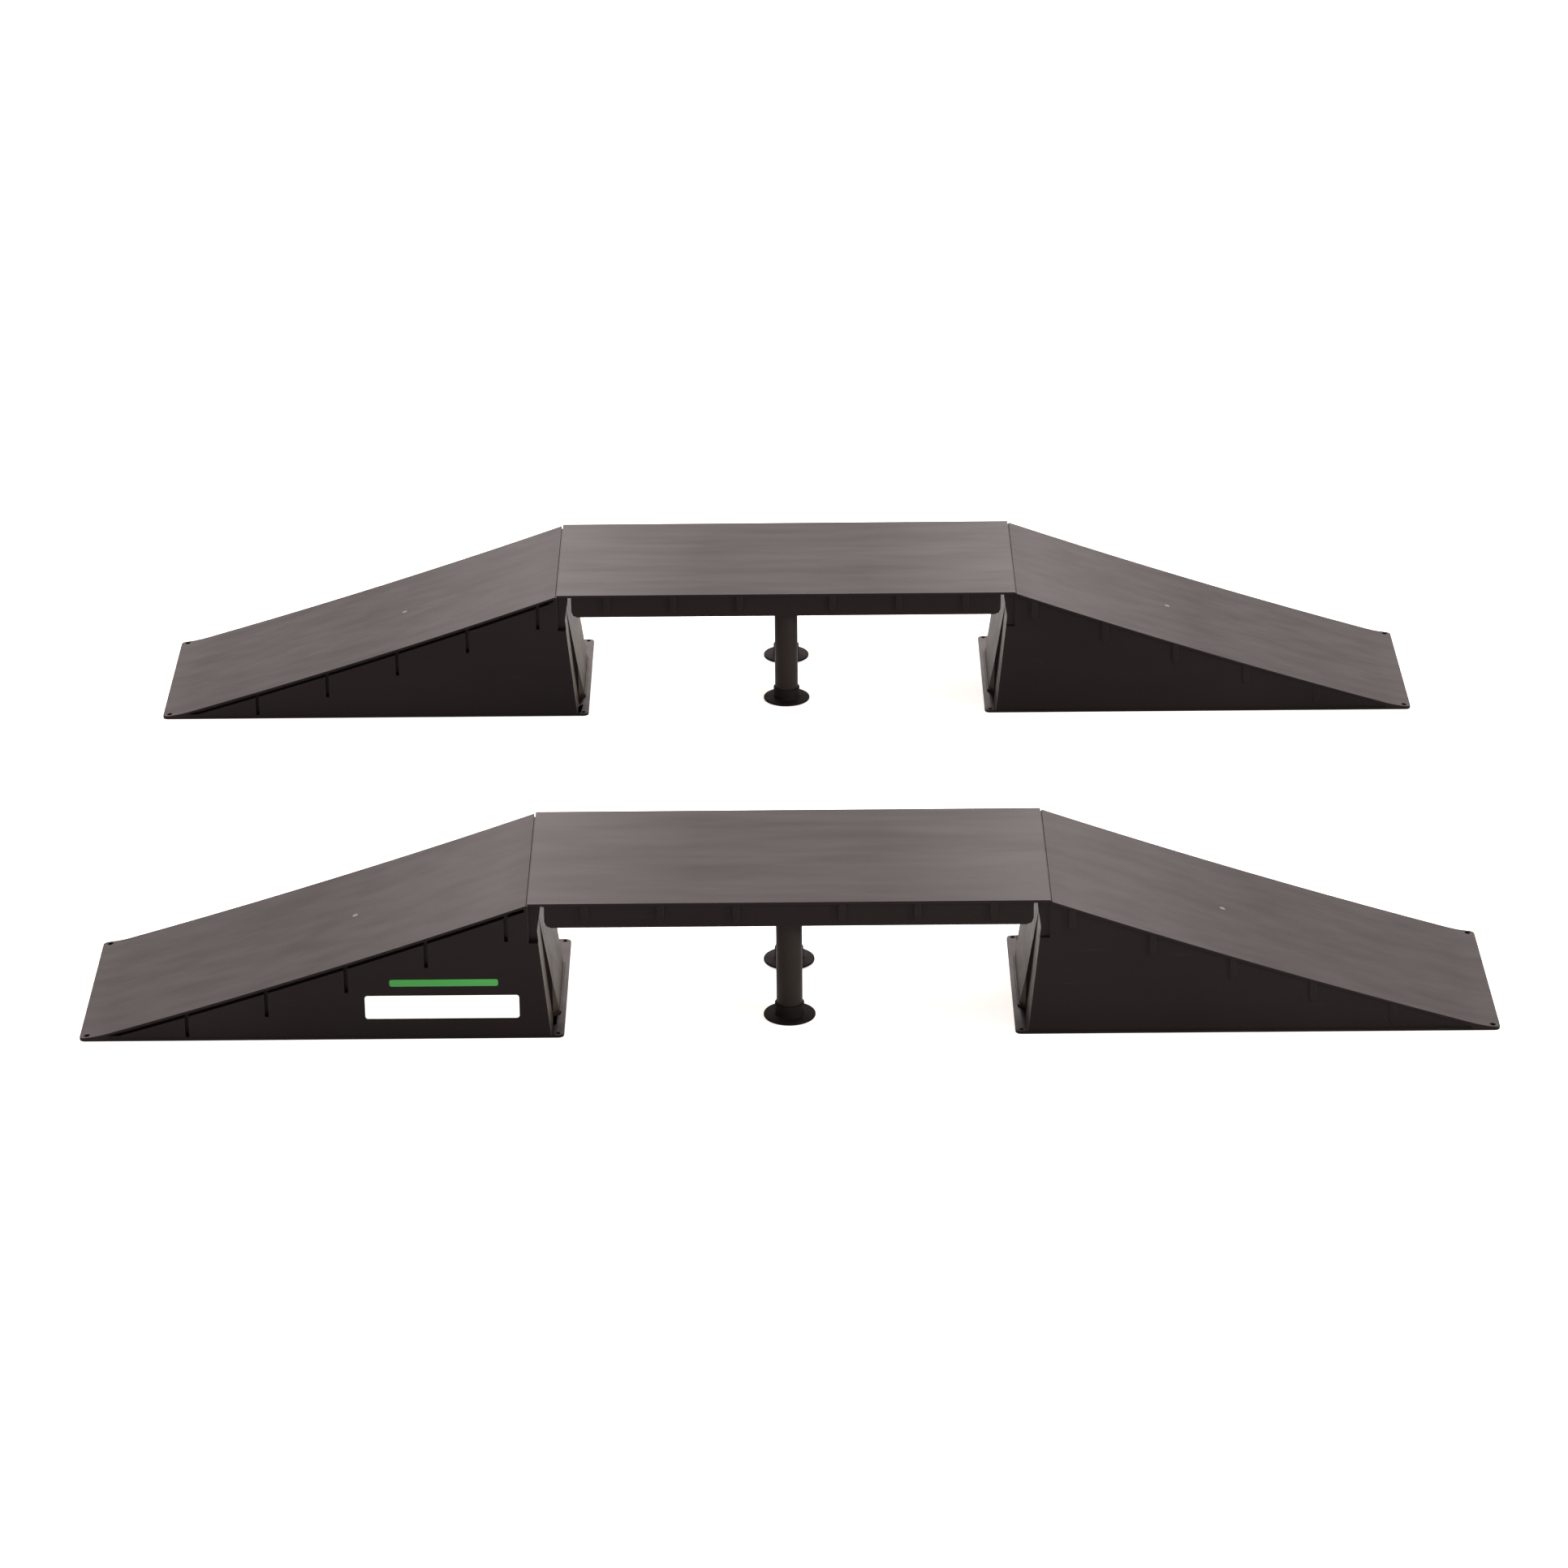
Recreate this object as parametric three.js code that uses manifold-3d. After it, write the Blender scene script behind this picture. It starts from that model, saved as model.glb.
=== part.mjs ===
// Two tabletop ramp sets standing one behind the other on the same floor.
// Each set is a kicker ramp, a raised deck, and a second kicker ramp facing the other way.
// The deck ends rest on ledges of the two ramps, and two round legs hold up its middle.
// Units are millimetres, +Z is up, X runs along the length of a set, the floor is at Z = 0.

import * as THREE from 'three';
import { mergeVertices } from 'three/addons/utils/BufferGeometryUtils.js';
import Module from 'manifold-3d';

// Overall sizes of one set
const DECK_LENGTH = 914;
const RAMP_LENGTH = 790;
const SET_WIDTH = 400;
const DECK_TOP = 258;
const SET_SPACING = 1460;

// Space left between pieces that touch
const GAP = 0.3;

// How far a cutting body reaches past the face it cuts
const OVER = 1;

// Moulded shells
const SKIN = 4.5;
const WALL = 4;
const RIB = 3;
const BASE_RIM = 5;
const SLOT_WALL_INSET = 1;

// Running surface of a ramp, steeper by the deck, and flattening out over its last stretch
const RAMP_DROP = 3;
const TOP_SLOPE = 0.356;
const LOW_SLOPE = 0.293;
const TOE_RUN = 50;
const TOE_NOSE = 6;
const TOE_SLOPE = 0.06;
const RAMP_STEPS = 10;
const TOE_STEPS = 4;

// Lip side of a ramp or deck: the wall leans out from the lip down to the floor
const LIP = 10;
const LIP_LOW = 2;

// Ledge, back wall and foot flange of a ramp, measured inward past the deck end
const LEDGE_REACH = 25;
const LEDGE_FACE = 10;
const WAIST_REACH = 18;
const WAIST_Z = 201;
const BACK_FOOT = 39;
const BACK_WALL = 7;
const FLANGE_REACH = 61;
const FLANGE_THICK = 5;

// Leaning buttress in the middle of the back wall
const BUTTRESS_REACH = 50;
const BUTTRESS_NEAR = -92;
const BUTTRESS_FAR = 104;
const BUTTRESS_FACET = 18;
const PLINTH_STEP = 3;
const PLINTH_HEIGHT = 9;

// Open notch in each side of a ramp, under the deck end
const NOTCH_START = 3;
const NOTCH_DEPTH = 13;
const NOTCH_Z = 183;

// Underside of a ramp: long ribs each side of the middle, and a toe that is left solid
const RAMP_RIB_Y = 62;
const SOLID_TOE = 110;

// Where the skin and the floor rims stop before the toe
const SKIN_STOP = 20;
const SKIN_HEEL = 10;

// Stake holes in the toe corners and in the flange corners
const CORNER_RADIUS = 10;
const CORNER_STEPS = 4;
const CORNER_SIDES = 24;
const HOLE_SIDES = 20;
const HOLE_TOP = 30;
const TOE_HOLE = { radius: 5, inset: 13, side: 10 };
const FLANGE_HOLE = { radius: 4, inset: 11, side: 9 };

// Fins on the lip side
const STATION_FIRST = 36;
const STATION_PITCH = 141;
const STATIONS = 5;
const FIN_WIDTH = 12;
const FIN_HEIGHT = 44;
const FIN_TIP = 12;
const FIN_STEPS = 6;
const FIN_SETBACK = 1.5;

// Slots and groove on the other side
const SLOT_WIDTH = 7;
const SLOT_DEPTH = 12;
const SLOT_BOX = 15;
const GROOVE_DEPTH = 9;
const GROOVE_HEIGHT = 6.5;
const GROOVE_WALL = 4;
const GROOVE_START = 4;

// Deck
const DECK_SKIN = 5;
const DECK_END_GAP = 2.5;
const APRON_DEPTH = 45;
const APRON_INSET = 31;
const APRON_CORNER = 12;
const APRON_LIP = 9;
const DECK_RIB_Y = 40;
const DECK_FIN_FIRST = 92;
const DECK_FIN_PITCH = 132;
const DECK_FIN_PAIRS = 3;
const DECK_FIN_HEIGHT = 34;

// Legs and feet
const LEG_RADIUS = 23;
const LEG_WALL = 3.5;
const LEG_OFFSET = 114;
const SOCKET_WALL = 5;
const FOOT_RADIUS = 46;
const FOOT_THICK = 4;
const FOOT_EDGE = 1;
const COLLAR_RADIUS = 26;
const COLLAR_HEIGHT = 26;
const LEG_SIDES = 32;

// Plain print on the side of one ramp, placed by its distance out from the deck end
const PRINT_THICK = 0.5;
const BAR = { start: 16, length: 270, low: 40, height: 44 };
const STRIPE = { start: 52, length: 190, low: 102, height: 13 };

const COLOURS = {
  ramp_plastic: 0x2b2827,
  leg_plastic: 0x242120,
  print_white: 0xe6e6e2,
  print_green: 0x2e7d3c,
};

const HALF_WIDTH = SET_WIDTH / 2;
const SLOT_WALL_Y = HALF_WIDTH - SLOT_WALL_INSET;
const LEDGE_TOP = DECK_TOP - DECK_SKIN - GAP;
const BEND_START = RAMP_LENGTH - TOE_RUN;

const wasm = await Module();
wasm.setup();

// Solid body from a three.js geometry
function solid(geometry) {
  const plain = geometry.clone();
  plain.deleteAttribute('normal');
  plain.deleteAttribute('uv');
  const merged = mergeVertices(plain, 1e-4);
  return new wasm.Manifold(new wasm.Mesh({
    numProp: 3,
    vertProperties: new Float32Array(merged.attributes.position.array),
    triVerts: new Uint32Array(merged.index.array),
  }));
}

function addAll(bodies) {
  return bodies.reduce((sum, body) => sum.add(body));
}

function block(x0, x1, y0, y1, z0, z1) {
  const geometry = new THREE.BoxGeometry(x1 - x0, Math.abs(y1 - y0), z1 - z0);
  geometry.translate((x0 + x1) / 2, (y0 + y1) / 2, (z0 + z1) / 2);
  return solid(geometry);
}

function post(x, y, z0, z1, radius, sides) {
  const geometry = new THREE.CylinderGeometry(radius, radius, z1 - z0, sides);
  geometry.rotateX(Math.PI / 2);
  geometry.translate(x, y, (z0 + z1) / 2);
  return solid(geometry);
}

// Outline in X and Z, pushed out along Y from y0 to y1
function sideProfile(outline, y0, y1) {
  const shape = new THREE.Shape(outline.map(([x, z]) => new THREE.Vector2(x, z)));
  const geometry = new THREE.ExtrudeGeometry(shape, { depth: y1 - y0, bevelEnabled: false });
  geometry.rotateX(Math.PI / 2);
  geometry.translate(0, y1, 0);
  return solid(geometry);
}

// Outline in Y and Z, pushed out along X from x0 to x1
function endProfile(outline, x0, x1) {
  const shape = new THREE.Shape(outline.map(([y, z]) => new THREE.Vector2(y, z)));
  const geometry = new THREE.ExtrudeGeometry(shape, { depth: x1 - x0, bevelEnabled: false });
  geometry.rotateX(Math.PI / 2);
  geometry.rotateZ(Math.PI / 2);
  geometry.translate(x0, 0, 0);
  return solid(geometry);
}

// Outline in X and Y, pushed up along Z from z0 to z1
function planProfile(outline, z0, z1) {
  const shape = new THREE.Shape(outline.map(([x, y]) => new THREE.Vector2(x, y)));
  const geometry = new THREE.ExtrudeGeometry(shape, { depth: z1 - z0, bevelEnabled: false });
  geometry.translate(0, 0, z0);
  return solid(geometry);
}

// Height of the running surface at a distance u out from the deck end
function rampHeight(u) {
  const bend = (TOP_SLOPE - LOW_SLOPE) / (2 * BEND_START);
  const slope = (at) => DECK_TOP - RAMP_DROP - TOP_SLOPE * at + bend * at * at;
  if (u <= BEND_START) {
    return slope(u);
  }
  const t = (u - BEND_START) / TOE_RUN;
  const start = slope(BEND_START) * (2 * t ** 3 - 3 * t ** 2 + 1);
  const end = TOE_NOSE * (3 * t ** 2 - 2 * t ** 3);
  const startPull = -LOW_SLOPE * TOE_RUN * (t ** 3 - 2 * t ** 2 + t);
  const endPull = -TOE_SLOPE * TOE_RUN * (t ** 3 - t ** 2);
  return start + end + startPull + endPull;
}

// Points along the running surface lowered by a drop, from u0 to u1
function surfaceLine(u0, u1, drop, steps = RAMP_STEPS) {
  const points = [];
  for (let step = 0; step <= steps; step += 1) {
    const u = u0 + ((u1 - u0) * step) / steps;
    points.push([u, rampHeight(u) - drop]);
  }
  return points;
}

// Fin under a lip, in X and Z, with a half-round tip
function finOutline(x, top, tip) {
  const reach = FIN_WIDTH / 2;
  const points = [[x - reach, top]];
  for (let step = 0; step <= FIN_STEPS; step += 1) {
    const angle = (step / FIN_STEPS) * Math.PI;
    points.push([x - reach * Math.cos(angle), tip + FIN_TIP * (1 - Math.sin(angle))]);
  }
  points.push([x + reach, top]);
  return points;
}

// Space on the outer side of a wall that stands LIP in at the top and LIP_LOW in at the floor,
// moved in by the thickness of the wall where that is wanted
function leanSpace(x0, x1, thickness) {
  return endProfile([
    [-HALF_WIDTH - OVER, -2 * OVER],
    [-HALF_WIDTH + LIP_LOW + thickness, -2 * OVER],
    [-HALF_WIDTH + LIP + thickness, DECK_TOP],
    [-HALF_WIDTH - OVER, DECK_TOP],
  ], x0, x1);
}

// Flat foot flange with rounded corners
function makeFlange() {
  const end = -FLANGE_REACH + CORNER_RADIUS;
  const outline = [[0, -HALF_WIDTH]];
  for (let step = 0; step <= CORNER_STEPS; step += 1) {
    const angle = (step / CORNER_STEPS) * (Math.PI / 2);
    outline.push([
      end - CORNER_RADIUS * Math.sin(angle),
      -HALF_WIDTH + CORNER_RADIUS * (1 - Math.cos(angle)),
    ]);
  }
  for (let step = 0; step <= CORNER_STEPS; step += 1) {
    const angle = (step / CORNER_STEPS) * (Math.PI / 2);
    outline.push([
      end - CORNER_RADIUS * Math.cos(angle),
      HALF_WIDTH - CORNER_RADIUS * (1 - Math.sin(angle)),
    ]);
  }
  outline.push([0, HALF_WIDTH]);
  return planProfile(outline, 0, FLANGE_THICK);
}

// Block that the buttress or its plinth is cut from
function buttressBlock(grow, height) {
  const near = BUTTRESS_NEAR - grow;
  const far = BUTTRESS_FAR + grow;
  const reach = BUTTRESS_REACH + grow;
  return planProfile([
    [0, near - BUTTRESS_FACET],
    [0, far + BUTTRESS_FACET],
    [-BACK_FOOT, far + BUTTRESS_FACET],
    [-reach, far],
    [-reach, near],
    [-BACK_FOOT, near - BUTTRESS_FACET],
  ], 0, height);
}

// Buttress that leans against the back wall, on a low plinth
function makeButtress() {
  const lean = sideProfile([
    [0, 0],
    [0, WAIST_Z],
    [-WAIST_REACH, WAIST_Z],
    [-BUTTRESS_REACH, PLINTH_HEIGHT],
    [-BUTTRESS_REACH, 0],
  ], -HALF_WIDTH, HALF_WIDTH);
  return [
    buttressBlock(0, WAIST_Z).intersect(lean),
    buttressBlock(PLINTH_STEP, PLINTH_HEIGHT),
  ];
}

// Outside of a ramp: body, skin over it, floor rims, fins, flange and buttress
function rampOutside(stations) {
  const top = [
    ...surfaceLine(0, BEND_START, 0),
    ...surfaceLine(BEND_START, RAMP_LENGTH, 0, TOE_STEPS).slice(1),
  ].reverse();
  const core = sideProfile([
    [-BACK_FOOT, 0],
    [RAMP_LENGTH, 0],
    ...top,
    [0, LEDGE_TOP],
    [-LEDGE_REACH, LEDGE_TOP],
    [-LEDGE_REACH + OVER, LEDGE_TOP - LEDGE_FACE],
    [-WAIST_REACH, WAIST_Z],
  ], -HALF_WIDTH, SLOT_WALL_Y);
  const skin = sideProfile([
    ...top,
    ...surfaceLine(0, BEND_START - SKIN_STOP, SKIN),
    [BEND_START + SKIN_HEEL, 0],
    [RAMP_LENGTH, 0],
  ], -HALF_WIDTH, HALF_WIDTH);
  const rimEnd = RAMP_LENGTH - SKIN_STOP;
  const parts = [
    core.subtract(leanSpace(-FLANGE_REACH - OVER, BEND_START, 0)),
    skin,
    block(-BACK_FOOT, rimEnd, -HALF_WIDTH, -HALF_WIDTH + LIP, 0, BASE_RIM),
    block(-BACK_FOOT, rimEnd, SLOT_WALL_Y - OVER, HALF_WIDTH, 0, BASE_RIM),
    makeFlange(),
    ...makeButtress(),
  ];
  for (const u of stations) {
    const fin = finOutline(u, rampHeight(u) - SKIN / 2, rampHeight(u) - FIN_HEIGHT);
    parts.push(sideProfile(fin, -HALF_WIDTH + FIN_SETBACK, -HALF_WIDTH + LIP + OVER));
  }
  return addAll(parts);
}

// Hollow under a ramp, less the walls and the lattice of ribs that stay in it
function rampHollow(stations) {
  const low = -2 * OVER;
  const pocketEnd = RAMP_LENGTH - SOLID_TOE;
  const hollow = sideProfile([
    [-BACK_FOOT + BACK_WALL, -OVER],
    [pocketEnd, -OVER],
    ...surfaceLine(WALL, pocketEnd, SKIN).reverse(),
    [-LEDGE_REACH + WALL, LEDGE_TOP - SKIN],
    [-WAIST_REACH + WALL, WAIST_Z],
  ], -HALF_WIDTH, SLOT_WALL_Y - WALL);
  const keep = [leanSpace(-FLANGE_REACH, RAMP_LENGTH, WALL)];
  for (const u of stations) {
    keep.push(block(u - RIB / 2, u + RIB / 2, -HALF_WIDTH, HALF_WIDTH, low, DECK_TOP));
    keep.push(block(u - SLOT_BOX / 2, u + SLOT_BOX / 2,
      SLOT_WALL_Y - SLOT_DEPTH - WALL, HALF_WIDTH, low, DECK_TOP));
  }
  for (const y of [-RAMP_RIB_Y, RAMP_RIB_Y]) {
    keep.push(block(-FLANGE_REACH, RAMP_LENGTH, y - RIB / 2, y + RIB / 2, low, DECK_TOP));
  }
  for (const side of [-1, 1]) {
    keep.push(block(-LEDGE_REACH, NOTCH_START + WALL, side * (HALF_WIDTH - NOTCH_DEPTH - WALL),
      side * HALF_WIDTH, NOTCH_Z - WALL, DECK_TOP));
  }
  keep.push(sideProfile([
    ...surfaceLine(0, pocketEnd, 0),
    ...surfaceLine(0, pocketEnd, SKIN + GROOVE_HEIGHT + GROOVE_WALL).reverse(),
  ], SLOT_WALL_Y - GROOVE_DEPTH - GROOVE_WALL, HALF_WIDTH));
  return hollow.subtract(addAll(keep));
}

// Holes, rounded toe corners, notches, groove and slots of a ramp
function rampCuts(stations) {
  const cuts = [];
  const toeCorner = RAMP_LENGTH - CORNER_RADIUS;
  for (const side of [-1, 1]) {
    const inner = side * (HALF_WIDTH - CORNER_RADIUS);
    const outer = side * (HALF_WIDTH + OVER);
    cuts.push(post(RAMP_LENGTH - TOE_HOLE.inset, side * (HALF_WIDTH - TOE_HOLE.side),
      -OVER, HOLE_TOP, TOE_HOLE.radius, HOLE_SIDES));
    cuts.push(post(-FLANGE_REACH + FLANGE_HOLE.inset, side * (HALF_WIDTH - FLANGE_HOLE.side),
      -OVER, HOLE_TOP, FLANGE_HOLE.radius, HOLE_SIDES));
    cuts.push(block(toeCorner, RAMP_LENGTH + OVER, inner, outer, -OVER, HOLE_TOP)
      .subtract(post(toeCorner, inner, -2 * OVER, HOLE_TOP + OVER, CORNER_RADIUS, CORNER_SIDES)));
    cuts.push(block(-LEDGE_REACH - OVER, -NOTCH_START, side * (HALF_WIDTH - NOTCH_DEPTH), outer,
      NOTCH_Z, DECK_TOP));
  }
  cuts.push(sideProfile([
    ...surfaceLine(GROOVE_START, BEND_START - SKIN_STOP, SKIN + GROOVE_HEIGHT),
    ...surfaceLine(GROOVE_START, BEND_START, SKIN).reverse(),
  ], SLOT_WALL_Y - GROOVE_DEPTH, HALF_WIDTH + OVER));
  for (const u of stations) {
    const slotTop = rampHeight(u) - SKIN - OVER;
    const slotLow = Math.max(slotTop - FIN_HEIGHT - GROOVE_HEIGHT, BASE_RIM + 2);
    cuts.push(block(u - SLOT_WIDTH / 2, u + SLOT_WIDTH / 2,
      SLOT_WALL_Y - SLOT_DEPTH, HALF_WIDTH + OVER, slotLow, slotTop));
  }
  return addAll(cuts);
}

// One kicker ramp, its deck end at X = 0 and its toe at X = RAMP_LENGTH.
// The side at low Y has the lip and fins, the side at high Y has the groove and slots.
function makeRamp() {
  const stations = Array.from({ length: STATIONS }, (_, i) => STATION_FIRST + STATION_PITCH * i);
  return rampOutside(stations).subtract(rampHollow(stations)).subtract(rampCuts(stations));
}

// Raised deck, centred on X = 0 and Y = 0, with fins on one side and slots on the other
function makeDeck() {
  const halfLength = DECK_LENGTH / 2;
  const under = DECK_TOP - DECK_SKIN;
  const bottom = under - APRON_DEPTH;
  const apronEnd = halfLength - APRON_INSET;
  const apronFront = -HALF_WIDTH + APRON_LIP;
  const corner = APRON_CORNER * (1 - Math.SQRT1_2);
  const apron = sideProfile([
    [-apronEnd, under + OVER],
    [-apronEnd, bottom + APRON_CORNER],
    [-apronEnd + corner, bottom + corner],
    [-apronEnd + APRON_CORNER, bottom],
    [apronEnd - APRON_CORNER, bottom],
    [apronEnd - corner, bottom + corner],
    [apronEnd, bottom + APRON_CORNER],
    [apronEnd, under + OVER],
  ], apronFront, SLOT_WALL_Y);
  const skinEnd = halfLength - DECK_END_GAP;
  const skin = block(-skinEnd, skinEnd, -HALF_WIDTH, HALF_WIDTH, under, DECK_TOP);

  const rightStations = Array.from({ length: DECK_FIN_PAIRS },
    (_, i) => DECK_FIN_FIRST + DECK_FIN_PITCH * i);
  const stations = [...rightStations.map((x) => -x), ...rightStations];

  const hollow = block(-apronEnd + WALL, apronEnd - WALL, apronFront + WALL,
    SLOT_WALL_Y - WALL, bottom - OVER, under);
  const keep = [];
  for (const x of stations) {
    keep.push(block(x - RIB / 2, x + RIB / 2, -HALF_WIDTH, HALF_WIDTH, bottom, under + OVER));
    keep.push(block(x - SLOT_BOX / 2, x + SLOT_BOX / 2,
      SLOT_WALL_Y - SLOT_DEPTH - WALL, HALF_WIDTH, bottom, under + OVER));
  }
  for (const y of [-DECK_RIB_Y, DECK_RIB_Y]) {
    keep.push(block(-apronEnd, apronEnd, y - RIB / 2, y + RIB / 2, bottom, under + OVER));
  }
  for (const y of [-LEG_OFFSET, LEG_OFFSET]) {
    const socket = LEG_RADIUS + GAP + SOCKET_WALL;
    keep.push(post(0, y, bottom, under + OVER, socket, LEG_SIDES));
    keep.push(block(-DECK_FIN_FIRST, DECK_FIN_FIRST, y - RIB / 2, y + RIB / 2,
      bottom, under + OVER));
  }
  const parts = [apron.subtract(hollow.subtract(addAll(keep))), skin];
  const cuts = [];
  for (const x of stations) {
    parts.push(sideProfile(finOutline(x, under + OVER, under - DECK_FIN_HEIGHT),
      -HALF_WIDTH + FIN_SETBACK, -HALF_WIDTH + LIP + OVER));
    cuts.push(block(x - SLOT_WIDTH / 2, x + SLOT_WIDTH / 2, SLOT_WALL_Y - SLOT_DEPTH,
      HALF_WIDTH + OVER, under - DECK_FIN_HEIGHT, under - 2 * OVER));
  }
  for (const y of [-LEG_OFFSET, LEG_OFFSET]) {
    cuts.push(post(0, y, bottom - OVER, under, LEG_RADIUS + GAP, LEG_SIDES));
  }
  return addAll(parts).subtract(addAll(cuts));
}

function makeLeg() {
  const low = FOOT_THICK + GAP;
  const high = LEDGE_TOP;
  return post(0, 0, low, high, LEG_RADIUS, LEG_SIDES)
    .subtract(post(0, 0, low - OVER, high + OVER, LEG_RADIUS - LEG_WALL, LEG_SIDES));
}

function makeFoot() {
  const points = [
    [0, 0],
    [FOOT_RADIUS - FOOT_EDGE, 0],
    [FOOT_RADIUS, FOOT_EDGE],
    [FOOT_RADIUS, FOOT_THICK - FOOT_EDGE],
    [FOOT_RADIUS - FOOT_EDGE, FOOT_THICK],
    [COLLAR_RADIUS, FOOT_THICK + FOOT_EDGE],
    [COLLAR_RADIUS, COLLAR_HEIGHT],
    [LEG_RADIUS + GAP, COLLAR_HEIGHT],
    [LEG_RADIUS + GAP, FOOT_THICK],
    [0, FOOT_THICK],
  ];
  const profile = points.map(([r, z]) => new THREE.Vector2(r, z));
  const geometry = new THREE.LatheGeometry(profile, LEG_SIDES);
  geometry.rotateX(Math.PI / 2);
  return solid(geometry);
}

// Thin printed rectangle, standing out from the wall behind it
function makePrint(print) {
  return block(-print.start - print.length, -print.start, -PRINT_THICK, 0,
    print.low, print.low + print.height);
}

function addPiece(group, body, name, slot, x, y, turn) {
  const mesh = body.getMesh();
  const geometry = new THREE.BufferGeometry();
  const positions = new Float32Array(mesh.vertProperties);
  geometry.setAttribute('position', new THREE.BufferAttribute(positions, 3));
  geometry.setIndex(new THREE.BufferAttribute(new Uint32Array(mesh.triVerts), 1));
  const material = new THREE.MeshStandardMaterial({ color: COLOURS[slot], roughness: 0.6 });
  const piece = new THREE.Mesh(geometry, material);
  piece.name = name;
  piece.position.set(x, y, 0);
  piece.rotation.z = turn;
  group.add(piece);
}

const ramp = makeRamp();
const deck = makeDeck();
const leg = makeLeg();
const foot = makeFoot();

function makeSet(label) {
  const group = new THREE.Group();
  addPiece(group, ramp, `${label}_ramp_left`, 'ramp_plastic', -DECK_LENGTH / 2, 0, Math.PI);
  addPiece(group, ramp, `${label}_ramp_right`, 'ramp_plastic', DECK_LENGTH / 2, 0, 0);
  addPiece(group, deck, `${label}_deck`, 'ramp_plastic', 0, 0, 0);
  for (const [end, offset] of [['near', -LEG_OFFSET], ['far', LEG_OFFSET]]) {
    addPiece(group, leg, `${label}_leg_${end}`, 'leg_plastic', 0, offset, 0);
    addPiece(group, foot, `${label}_foot_${end}`, 'leg_plastic', 0, offset, 0);
  }
  return group;
}

const frontSet = makeSet('front');
frontSet.position.y = -SET_SPACING / 2;
const printY = -SLOT_WALL_Y - GAP;
const bar = makePrint(BAR);
const stripe = makePrint(STRIPE);
addPiece(frontSet, bar, 'front_print_bar', 'print_white', -DECK_LENGTH / 2, printY, 0);
addPiece(frontSet, stripe, 'front_print_stripe', 'print_green', -DECK_LENGTH / 2, printY, 0);

const rearSet = makeSet('rear');
rearSet.position.y = SET_SPACING / 2;

const part = new THREE.Group();
part.name = 'tabletop_ramp_sets';
part.add(frontSet, rearSet);

export default part;
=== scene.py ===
import math

import bpy
from mathutils import Matrix, Vector


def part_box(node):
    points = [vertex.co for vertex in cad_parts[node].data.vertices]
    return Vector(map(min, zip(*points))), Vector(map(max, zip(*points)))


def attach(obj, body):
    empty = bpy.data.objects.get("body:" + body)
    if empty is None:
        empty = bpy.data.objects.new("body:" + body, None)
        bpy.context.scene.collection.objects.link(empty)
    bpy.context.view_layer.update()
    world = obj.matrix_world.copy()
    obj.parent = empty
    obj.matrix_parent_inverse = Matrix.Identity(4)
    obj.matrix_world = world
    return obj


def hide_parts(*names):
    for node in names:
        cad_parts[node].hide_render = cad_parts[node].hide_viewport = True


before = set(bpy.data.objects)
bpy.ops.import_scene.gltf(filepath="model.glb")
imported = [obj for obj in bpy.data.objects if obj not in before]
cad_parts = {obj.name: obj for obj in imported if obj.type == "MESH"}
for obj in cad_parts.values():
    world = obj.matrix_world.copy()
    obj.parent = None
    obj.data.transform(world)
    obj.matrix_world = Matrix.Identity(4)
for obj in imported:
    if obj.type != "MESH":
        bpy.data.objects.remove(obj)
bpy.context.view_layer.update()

MM = 0.001
SETS = ("front", "rear")
ENDS = ("near", "far")
SIDES = (("left", -1), ("right", 1))

# Finish of the CAD nodes
CAD_EDGE = 0.8 * MM
CAD_EDGE_STEPS = 2
WELD_GAP = 0.01 * MM
FLAT_ANGLE = math.radians(0.2)
EDGE_ANGLE = math.radians(30)
AREA_WEIGHT = 100
SAME_AREA = 0.5

# Turned pieces; an outline that would touch the axis stops short of it by the gap
FACETS = 96
SHARP_ANGLE = math.radians(38)
EDGE_STEPS = 4
FILLET_STEPS = 5
CORNER_STEPS = 8
AXIS_GAP = 1.0 * MM

# Leg tube
TUBE_WALL = 3.5 * MM
TUBE_EDGE = 0.8 * MM
TUBE_EDGE_STEPS = 3

# Foot disc and its collar
COLLAR_RADIUS = 26 * MM
COLLAR_BORE = 23.25 * MM
COLLAR_FILLET = 3.0 * MM
COLLAR_LIP = 1.2 * MM
DISC_THICKNESS = 4.4 * MM
DISC_EDGE = 1.4 * MM
SOCKET_FLOOR = 3.9 * MM

# Print on the front left ramp
BAR_RADIUS = 5 * MM
STRIPE_RADIUS = 4 * MM
PRINT_EDGE = 0.1 * MM

# Gate mark on each running surface
GATE_FROM_JOINT = 316 * MM
GATE_RADIUS = 5.0 * MM
GATE_RING = 4.4 * MM
GATE_RING_INNER = 3.2 * MM
GATE_DIMPLE = 2.6 * MM
GATE_STUB = 1.2 * MM
GATE_AXIS_GAP = 0.3 * MM
GATE_DEPTH = 0.4 * MM
GATE_RING_FOOT = 0.15 * MM
GATE_RING_HEIGHT = 0.35 * MM
GATE_DIMPLE_HEIGHT = 0.1 * MM
GATE_STUB_HEIGHT = 0.5 * MM
ABOVE_RAMP = 100 * MM

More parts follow.
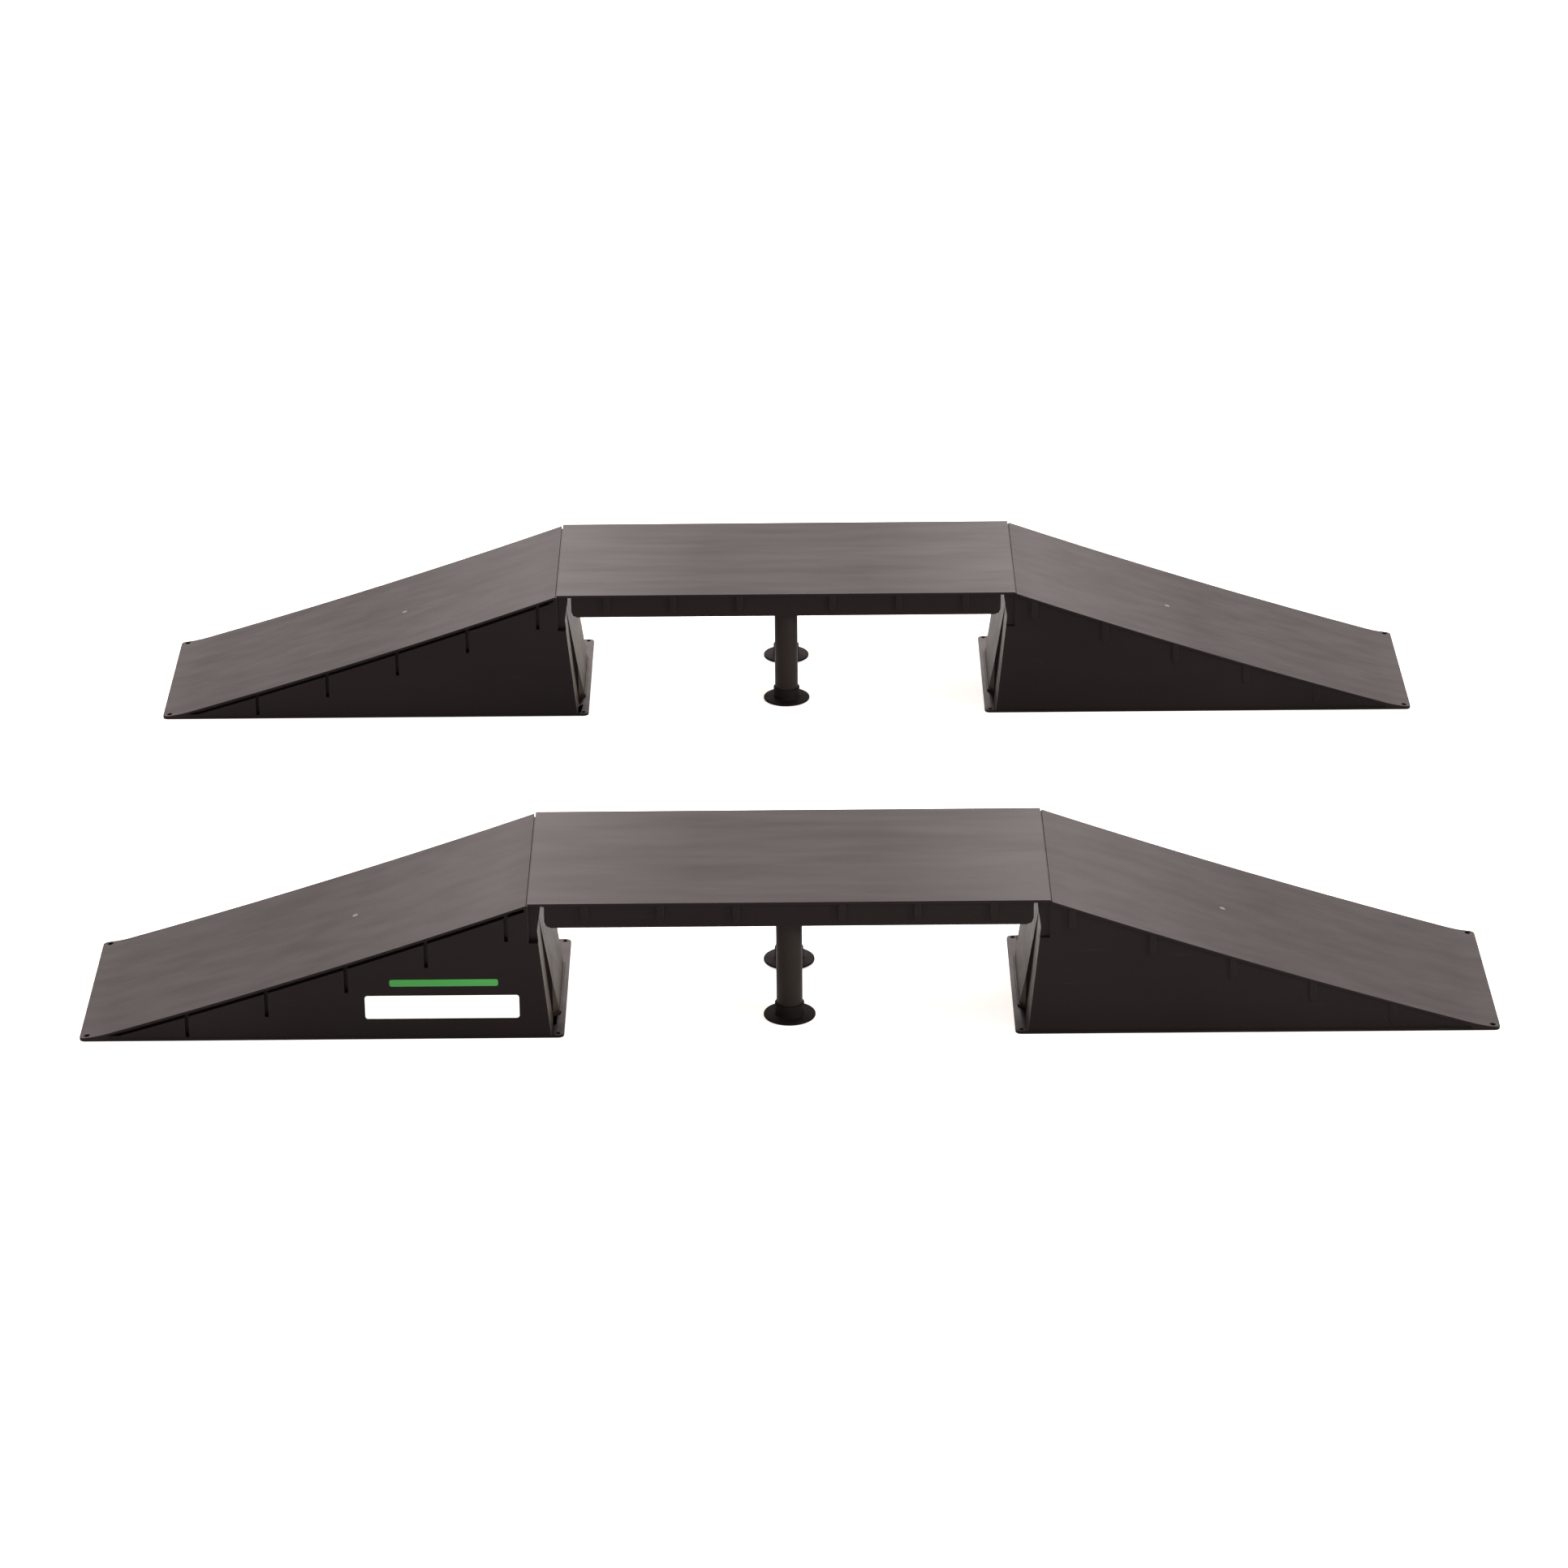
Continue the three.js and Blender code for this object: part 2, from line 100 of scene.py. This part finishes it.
# Plastic patterns. A noise is its scale per metre, its detail and its roughness.
# A stretch packs it closer along X, Y and Z, and a span is the part of its range that shows.
CLOUD_NOISE = (2.6, 3.0, 0.5)
CLOUD_SPAN = (0.36, 0.66)
SHEEN_NOISE = (4.0, 4.0, 0.55)
SHEEN_STRETCH = (1.0, 7.0, 7.0)
SHEEN_SPAN = (0.32, 0.68)
SCUFF_NOISE = (3.0, 4.0, 0.55)
SCUFF_STRETCH = (3.0, 46.0, 46.0)
SCUFF_SPAN = (0.66, 0.80)
SCUFF_COVER = 0.55
GRAIN_NOISE = (1100.0, 2.0, 0.5)
WARP_NOISE = (3.2, 1.0, 0.4)
BUMP_STRENGTH = 0.3
SPECULAR_TINT = (1.0, 0.90, 0.88, 1.0)

# Glossy band beside each joint of deck and ramp: its distance from the middle, and its half width
GLOSS_PLACE = 0.5
GLOSS_FADE = 0.34

# Dull end walls, and how squarely a face looks along X to count as one; the painted light on those walls
# uses the same test
WALL_DULLING = 0.15
WALL_FACING = (0.72, 0.92)

# Studio
FLOOR_SIZE = 60.0
FLOOR_DROP = 0.5 * MM
FLOOR_GLOW = 0.72
FLOOR_GLOW_COLOUR = (1.0, 0.94, 0.88, 1.0)
SKY_COLOUR = (1.0, 0.90, 0.885, 1.0)
SKY_BACK = (0.9, 5.6)
SKY_BACK_RANGE = (0.0, 0.9)
SKY_HEIGHT = (0.1, 1.7)
SKY_HEIGHT_RANGE = (0.12, 0.60)
BACKDROP = 1.3

# Camera
SENSOR = 36.0
LENS = 125.92
CAMERA_PLACE = (-0.0067, -9.58, 4.236)
CAMERA_DOWN = math.radians(23.46)
CAMERA_ROLL = math.radians(-0.468)
CLIP_END = 100.0


# ---------------------------------------------------------------- materials
def new_material(name):
    material = bpy.data.materials.new(name)
    material.use_nodes = True
    tree = material.node_tree
    tree.nodes.clear()
    output = tree.nodes.new("ShaderNodeOutputMaterial")
    shader = tree.nodes.new("ShaderNodeBsdfPrincipled")
    tree.links.new(shader.outputs["BSDF"], output.inputs["Surface"])
    return material, tree, shader


def noise(tree, vector, pattern):
    node = tree.nodes.new("ShaderNodeTexNoise")
    for name, value in zip(("Scale", "Detail", "Roughness"), pattern):
        node.inputs[name].default_value = value
    tree.links.new(vector, node.inputs["Vector"])
    return node.outputs["Fac"]


def spread(tree, value, span, result):
    """Maps a value from one span to another, and holds it at the ends."""
    node = tree.nodes.new("ShaderNodeMapRange")
    node.inputs["From Min"].default_value = span[0]
    node.inputs["From Max"].default_value = span[1]
    node.inputs["To Min"].default_value = result[0]
    node.inputs["To Max"].default_value = result[1]
    tree.links.new(value, node.inputs["Value"])
    return node.outputs["Result"]


def mix_colour(tree, factor, first, second):
    """Mixes two colours, each a plain (r, g, b) or the output of a node."""
    node = tree.nodes.new("ShaderNodeMix")
    node.data_type = "RGBA"
    tree.links.new(factor, node.inputs["Factor"])
    first_socket, second_socket = [socket for socket in node.inputs if socket.type == "RGBA"]
    for socket, colour in ((first_socket, first), (second_socket, second)):
        if isinstance(colour, tuple):
            socket.default_value = (*colour, 1.0)
        else:
            tree.links.new(colour, socket)
    return next(socket for socket in node.outputs if socket.type == "RGBA")


def stretched(tree, vector, factors):
    node = tree.nodes.new("ShaderNodeVectorMath")
    node.operation = "MULTIPLY"
    tree.links.new(vector, node.inputs[0])
    node.inputs[1].default_value = factors
    return node.outputs[0]


def split_axes(tree, vector):
    node = tree.nodes.new("ShaderNodeSeparateXYZ")
    tree.links.new(vector, node.inputs["Vector"])
    return node.outputs


def bump(tree, height, distance, under=None):
    node = tree.nodes.new("ShaderNodeBump")
    node.inputs["Strength"].default_value = BUMP_STRENGTH
    node.inputs["Distance"].default_value = distance
    tree.links.new(height, node.inputs["Height"])
    if under:
        tree.links.new(under, node.inputs["Normal"])
    return node.outputs["Normal"]


def math_node(tree, operation, first, second=0.0):
    node = tree.nodes.new("ShaderNodeMath")
    node.operation = operation
    for socket, value in zip(node.inputs, (first, second)):
        if isinstance(value, float):
            socket.default_value = value
        else:
            tree.links.new(value, socket)
    return node.outputs[0]


def from_gloss(tree, place):
    """How far a point is, along X, from the middle of the nearer glossy band."""
    from_middle = math_node(tree, "ABSOLUTE", split_axes(tree, place)["X"])
    return math_node(tree, "ABSOLUTE", math_node(tree, "SUBTRACT", from_middle, GLOSS_PLACE))


def on_end_walls(tree, facing):
    """1 on the upright walls that face along X, 0 elsewhere."""
    across = math_node(tree, "ABSOLUTE", split_axes(tree, facing)["X"])
    return spread(tree, across, WALL_FACING, (0.0, 1.0))


def moulded_plastic(name, dark, light, rough, grain, warp=0.0, specular=0.3,
                    scuffs=None, glossy_joints=0.0, painted_wall_light=None):
    """Plastic with soft tone clouds, an uneven sheen and a fine grain.

    The sheen runs lengthwise. Scuffs are long pale rubs of that colour, glossy_joints lowers the
    roughness beside the joints by that much, and painted_wall_light dulls the end walls and paints
    them in that lighter, warmer colour, a painted light as if they were lit.
    """
    material, tree, shader = new_material(name)
    coordinates = tree.nodes.new("ShaderNodeTexCoord")
    place = coordinates.outputs["Object"]
    cloud = spread(tree, noise(tree, place, CLOUD_NOISE), CLOUD_SPAN, (0.0, 1.0))
    colour = mix_colour(tree, cloud, dark, light)
    sheen = noise(tree, stretched(tree, place, SHEEN_STRETCH), SHEEN_NOISE)
    roughness = spread(tree, sheen, SHEEN_SPAN, rough)
    if glossy_joints:
        gloss = spread(tree, from_gloss(tree, place), (0.0, GLOSS_FADE), (-glossy_joints, 0.0))
        roughness = math_node(tree, "ADD", roughness, gloss)
    if painted_wall_light:
        walls = on_end_walls(tree, coordinates.outputs["Normal"])
        dulling = math_node(tree, "MULTIPLY", walls, WALL_DULLING)
        roughness = math_node(tree, "ADD", roughness, dulling)
        # Painted light: the end walls get a lighter, warmer colour, as if lit
        colour = mix_colour(tree, walls, colour, painted_wall_light)
    if scuffs:
        lines = noise(tree, stretched(tree, place, SCUFF_STRETCH), SCUFF_NOISE)
        marks = spread(tree, lines, SCUFF_SPAN, (0.0, SCUFF_COVER))
        colour = mix_colour(tree, marks, colour, scuffs)
    tree.links.new(colour, shader.inputs["Base Color"])
    tree.links.new(roughness, shader.inputs["Roughness"])
    normal = bump(tree, noise(tree, place, GRAIN_NOISE), grain)
    if warp:
        normal = bump(tree, noise(tree, place, WARP_NOISE), warp, normal)
    tree.links.new(normal, shader.inputs["Normal"])
    shader.inputs["Specular IOR Level"].default_value = specular
    shader.inputs["Specular Tint"].default_value = SPECULAR_TINT
    return material


RAMP = moulded_plastic(
    "ramp_plastic",
    dark=(0.0034, 0.0024, 0.0022),
    light=(0.0050, 0.0035, 0.0033),
    rough=(0.45, 0.52),
    grain=0.22 * MM,
    warp=0.3 * MM,
    specular=0.08,
    scuffs=(0.013, 0.0100, 0.0095),
    glossy_joints=0.15,
    # Lighter, warmer colour of the end walls: painted light
    painted_wall_light=(0.022, 0.0155, 0.0095),
)
LEG = moulded_plastic(
    "leg_plastic",
    dark=(0.0080, 0.0060, 0.0049),
    light=(0.0112, 0.0084, 0.0069),
    rough=(0.50, 0.60),
    grain=0.1 * MM,
    specular=0.10,
    scuffs=(0.018, 0.015, 0.013),
)
FOOT = moulded_plastic(
    "foot_plastic",
    dark=(0.0042, 0.0033, 0.0028),
    light=(0.0062, 0.0050, 0.0042),
    rough=(0.66, 0.76),
    grain=0.1 * MM,
    specular=0.05,
    scuffs=(0.010, 0.0085, 0.0078),
)
GATE = moulded_plastic(
    "gate_mark",
    dark=(0.030, 0.028, 0.027),
    light=(0.050, 0.047, 0.045),
    rough=(0.40, 0.50),
    grain=0.1 * MM,
)
WHITE = moulded_plastic(
    "print_white",
    dark=(0.80, 0.80, 0.79),
    light=(0.86, 0.86, 0.85),
    rough=(0.50, 0.62),
    grain=0.06 * MM,
)
GREEN = moulded_plastic(
    "print_green",
    dark=(0.020, 0.165, 0.028),
    light=(0.026, 0.20, 0.036),
    rough=(0.50, 0.62),
    grain=0.06 * MM,
)
FLOOR = moulded_plastic(
    "floor_paint",
    dark=(0.52, 0.54, 0.545),
    light=(0.53, 0.55, 0.555),
    rough=(0.75, 0.85),
    grain=0.1 * MM,
)


# ---------------------------------------------------------------- carried-over CAD nodes
def finish_cad(node, material):
    """Gives a CAD node its material, rounded edges and clean shading, by modifiers only."""
    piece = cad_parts[node]
    piece.data.materials.clear()
    piece.data.materials.append(material)
    weld = piece.modifiers.new("weld", "WELD")
    weld.merge_threshold = WELD_GAP
    flatten = piece.modifiers.new("flatten", "DECIMATE")
    flatten.decimate_type = "DISSOLVE"
    flatten.angle_limit = FLAT_ANGLE
    edge = piece.modifiers.new("edge", "BEVEL")
    edge.width = CAD_EDGE
    edge.segments = CAD_EDGE_STEPS
    edge.limit_method = "ANGLE"
    edge.angle_limit = EDGE_ANGLE
    edge.use_clamp_overlap = False
    piece.modifiers.new("triangles", "TRIANGULATE")
    shading = piece.modifiers.new("shading", "WEIGHTED_NORMAL")
    shading.weight = AREA_WEIGHT
    shading.thresh = SAME_AREA
    for face in piece.data.polygons:
        face.use_smooth = True


for label in SETS:
    for part in ("ramp_left", "ramp_right", "deck"):
        finish_cad(f"{label}_{part}", RAMP)


# ---------------------------------------------------------------- pieces made here
def add_piece(name, vertices, faces, material, body, slot, *nodes):
    mesh = bpy.data.meshes.new(name)
    mesh.from_pydata(vertices, [], faces)
    mesh.materials.append(material)
    for face in mesh.polygons:
        face.use_smooth = True
    piece = bpy.data.objects.new(name, mesh)
    bpy.context.scene.collection.objects.link(piece)
    mesh.set_sharp_from_angle(angle=SHARP_ANGLE)
    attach(piece, body)
    if nodes:
        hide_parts(*nodes)


def arc(centre, radius, start, end, steps):
    """Points of an arc from start to end degrees."""
    turns = [math.radians(start + (end - start) * step / steps) for step in range(steps + 1)]
    return [(centre[0] + radius * math.cos(t), centre[1] + radius * math.sin(t)) for t in turns]


def lathe(profile, x, y):
    """Turns a closed outline in r and z round the vertical line through x and y."""
    vertices = []
    for turn in range(FACETS):
        angle = 2 * math.pi * turn / FACETS
        vertices += [(x + r * math.cos(angle), y + r * math.sin(angle), z) for r, z in profile]
    count = len(profile)
    faces = []
    for turn in range(FACETS):
        here = turn * count
        there = (turn + 1) % FACETS * count
        for i in range(count):
            j = (i + 1) % count
            faces.append((here + i, there + i, there + j, here + j))
    return vertices, faces


def middle(low, high):
    return (low[0] + high[0]) / 2, (low[1] + high[1]) / 2


def make_leg(label, end):
    """Round tube with softened ends."""
    node = f"{label}_leg_{end}"
    low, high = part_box(node)
    outer = (high[0] - low[0]) / 2
    inner = outer - TUBE_WALL
    bottom = low[2] + TUBE_EDGE
    top = high[2] - TUBE_EDGE
    profile = [
        *arc((outer - TUBE_EDGE, bottom), TUBE_EDGE, -90, 0, TUBE_EDGE_STEPS),
        *arc((outer - TUBE_EDGE, top), TUBE_EDGE, 0, 90, TUBE_EDGE_STEPS),
        *arc((inner + TUBE_EDGE, top), TUBE_EDGE, 90, 180, TUBE_EDGE_STEPS),
        *arc((inner + TUBE_EDGE, bottom), TUBE_EDGE, 180, 270, TUBE_EDGE_STEPS),
    ]
    vertices, faces = lathe(profile, *middle(low, high))
    add_piece(f"{label}_tube_{end}", vertices, faces, LEG, node, "leg_plastic", node)


def make_foot(label, end):
    """Disc with a raised collar, filleted at its root, that the tube stands in."""
    node = f"{label}_foot_{end}"
    low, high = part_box(node)
    bottom = low[2]
    top = high[2]
    rim = (high[0] - low[0]) / 2
    plate = bottom + DISC_THICKNESS
    profile = [
        (AXIS_GAP, bottom),
        *arc((rim - DISC_EDGE, bottom + DISC_EDGE), DISC_EDGE, -90, 0, EDGE_STEPS),
        *arc((rim - DISC_EDGE, plate - DISC_EDGE), DISC_EDGE, 0, 90, EDGE_STEPS),
        *arc((COLLAR_RADIUS + COLLAR_FILLET, plate + COLLAR_FILLET), COLLAR_FILLET, 270, 180, FILLET_STEPS),
        *arc((COLLAR_RADIUS - COLLAR_LIP, top - COLLAR_LIP), COLLAR_LIP, 0, 90, EDGE_STEPS),
        (COLLAR_BORE, top),
        (COLLAR_BORE, bottom + SOCKET_FLOOR),
        (AXIS_GAP, bottom + SOCKET_FLOOR),
    ]
    vertices, faces = lathe(profile, *middle(low, high))
    add_piece(f"{label}_disc_{end}", vertices, faces, FOOT, f"{label}_leg_{end}", "leg_plastic", node)


def make_print(node, material, slot, radius):
    """Flat printed bar with round corners and a softened front edge."""
    low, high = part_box(node)
    corners = (
        ((high[0] - radius, high[2] - radius), 0),
        ((low[0] + radius, high[2] - radius), 90),
        ((low[0] + radius, low[2] + radius), 180),
        ((high[0] - radius, low[2] + radius), 270),
    )
    outline = []
    for centre, start in corners:
        outline += arc(centre, radius, start, start + 90, CORNER_STEPS)
    middle_x = (low[0] + high[0]) / 2
    middle_z = (low[2] + high[2]) / 2
    count = len(outline)
    vertices = []
    for y, inset in ((high[1], 0.0), (low[1] + PRINT_EDGE, 0.0), (low[1], PRINT_EDGE)):
        for x, z in outline:
            pull_x = math.copysign(inset, x - middle_x)
            pull_z = math.copysign(inset, z - middle_z)
            vertices.append((x - pull_x, y, z - pull_z))
    faces = [tuple(range(count)), tuple(range(3 * count - 1, 2 * count - 1, -1))]
    for ring in (0, count):
        for i in range(count):
            j = (i + 1) % count
            faces.append((ring + i, ring + count + i, ring + count + j, ring + j))
    add_piece(f"{node}_face", vertices, faces, material, "front_ramp_left", slot, node)


def make_gate(label, side, sign):
    """Small round mark that the moulding gate leaves in the middle of a running surface."""
    node = f"{label}_ramp_{side}"
    low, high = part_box(node)
    deck_low, deck_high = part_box(f"{label}_deck")
    joint = deck_low[0] if sign < 0 else deck_high[0]
    above = Vector((joint + sign * GATE_FROM_JOINT, middle(low, high)[1], high[2] + ABOVE_RAMP))
    _, place, normal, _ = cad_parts[node].ray_cast(above, Vector((0, 0, -1)))
    profile = [
        (GATE_AXIS_GAP, -GATE_DEPTH),
        (GATE_RADIUS, -GATE_DEPTH),
        (GATE_RADIUS, GATE_RING_FOOT),
        (GATE_RING, GATE_RING_HEIGHT),
        (GATE_RING_INNER, GATE_RING_HEIGHT),
        (GATE_DIMPLE, GATE_DIMPLE_HEIGHT),
        (GATE_STUB, GATE_DIMPLE_HEIGHT),
        (GATE_AXIS_GAP, GATE_STUB_HEIGHT),
    ]
    vertices, faces = lathe(profile, 0, 0)
    to_surface = Matrix.Translation(place) @ normal.to_track_quat("Z", "Y").to_matrix().to_4x4()
    vertices = [tuple(to_surface @ Vector(vertex)) for vertex in vertices]
    add_piece(f"{label}_gate_{side}", vertices, faces, GATE, node, "ramp_plastic")


for label in SETS:
    for end in ENDS:
        make_leg(label, end)
        make_foot(label, end)
    for side, sign in SIDES:
        make_gate(label, side, sign)
make_print("front_print_bar", WHITE, "print_white", BAR_RADIUS)
make_print("front_print_stripe", GREEN, "print_green", STRIPE_RADIUS)


# ---------------------------------------------------------------- stage
def make_floor():
    """Pale floor with a glow of its own, so that it shows plain white and without shadows."""
    half = FLOOR_SIZE / 2
    corners = [(-half, -half), (half, -half), (half, half), (-half, half)]
    mesh = bpy.data.meshes.new("floor")
    mesh.from_pydata([(x, y, -FLOOR_DROP) for x, y in corners], [], [(0, 1, 2, 3)])
    mesh.materials.append(FLOOR)
    shader = FLOOR.node_tree.nodes["Principled BSDF"]
    shader.inputs["Emission Color"].default_value = FLOOR_GLOW_COLOUR
    shader.inputs["Emission Strength"].default_value = FLOOR_GLOW
    floor = bpy.data.objects.new("floor", mesh)
    bpy.context.scene.collection.objects.link(floor)


def make_sky():
    """Soft studio surround, brighter high up behind the object, that shows as a plain pale backdrop."""
    world = bpy.data.worlds.new("studio")
    world.use_nodes = True
    tree = world.node_tree
    background = tree.nodes["Background"]
    direction = split_axes(tree, tree.nodes.new("ShaderNodeTexCoord").outputs["Generated"])
    by_depth = spread(tree, direction["Y"], SKY_BACK_RANGE, SKY_BACK)
    by_height = spread(tree, direction["Z"], SKY_HEIGHT_RANGE, SKY_HEIGHT)
    glow = math_node(tree, "MULTIPLY", by_depth, by_height)
    seen = tree.nodes.new("ShaderNodeLightPath").outputs["Is Camera Ray"]
    backdrop = math_node(tree, "MULTIPLY", seen, BACKDROP)
    tree.links.new(math_node(tree, "MAXIMUM", glow, backdrop), background.inputs["Strength"])
    background.inputs["Color"].default_value = SKY_COLOUR
    bpy.context.scene.world = world


def softbox(name, place, target, size, power):
    light = bpy.data.lights.new(name, "AREA")
    light.shape = "SQUARE"
    light.size = size
    light.energy = power
    item = bpy.data.objects.new(name, light)
    item.location = place
    item.rotation_euler = (Vector(target) - Vector(place)).to_track_quat("-Z", "Y").to_euler()
    item.visible_camera = False
    bpy.context.scene.collection.objects.link(item)


def make_camera():
    data = bpy.data.cameras.new("camera")
    data.sensor_width = SENSOR
    data.lens = LENS
    data.clip_end = CLIP_END
    camera = bpy.data.objects.new("camera", data)
    camera.location = CAMERA_PLACE
    tilt = Matrix.Rotation(math.radians(90) - CAMERA_DOWN, 3, "X")
    roll = Matrix.Rotation(CAMERA_ROLL, 3, "Z")
    camera.rotation_euler = (tilt @ roll).to_euler()
    bpy.context.scene.collection.objects.link(camera)
    bpy.context.scene.camera = camera


make_floor()
make_sky()
softbox("top_light", place=(0.0, 0.0, 7.0), target=(0.0, 0.0, 0.0), size=9.0, power=70.0)
softbox("side_light", place=(9.9, -5.7, 3.6), target=(0.0, 0.0, 0.1), size=1.5, power=1250.0)
make_camera()
bpy.context.scene.view_settings.view_transform = "Standard"
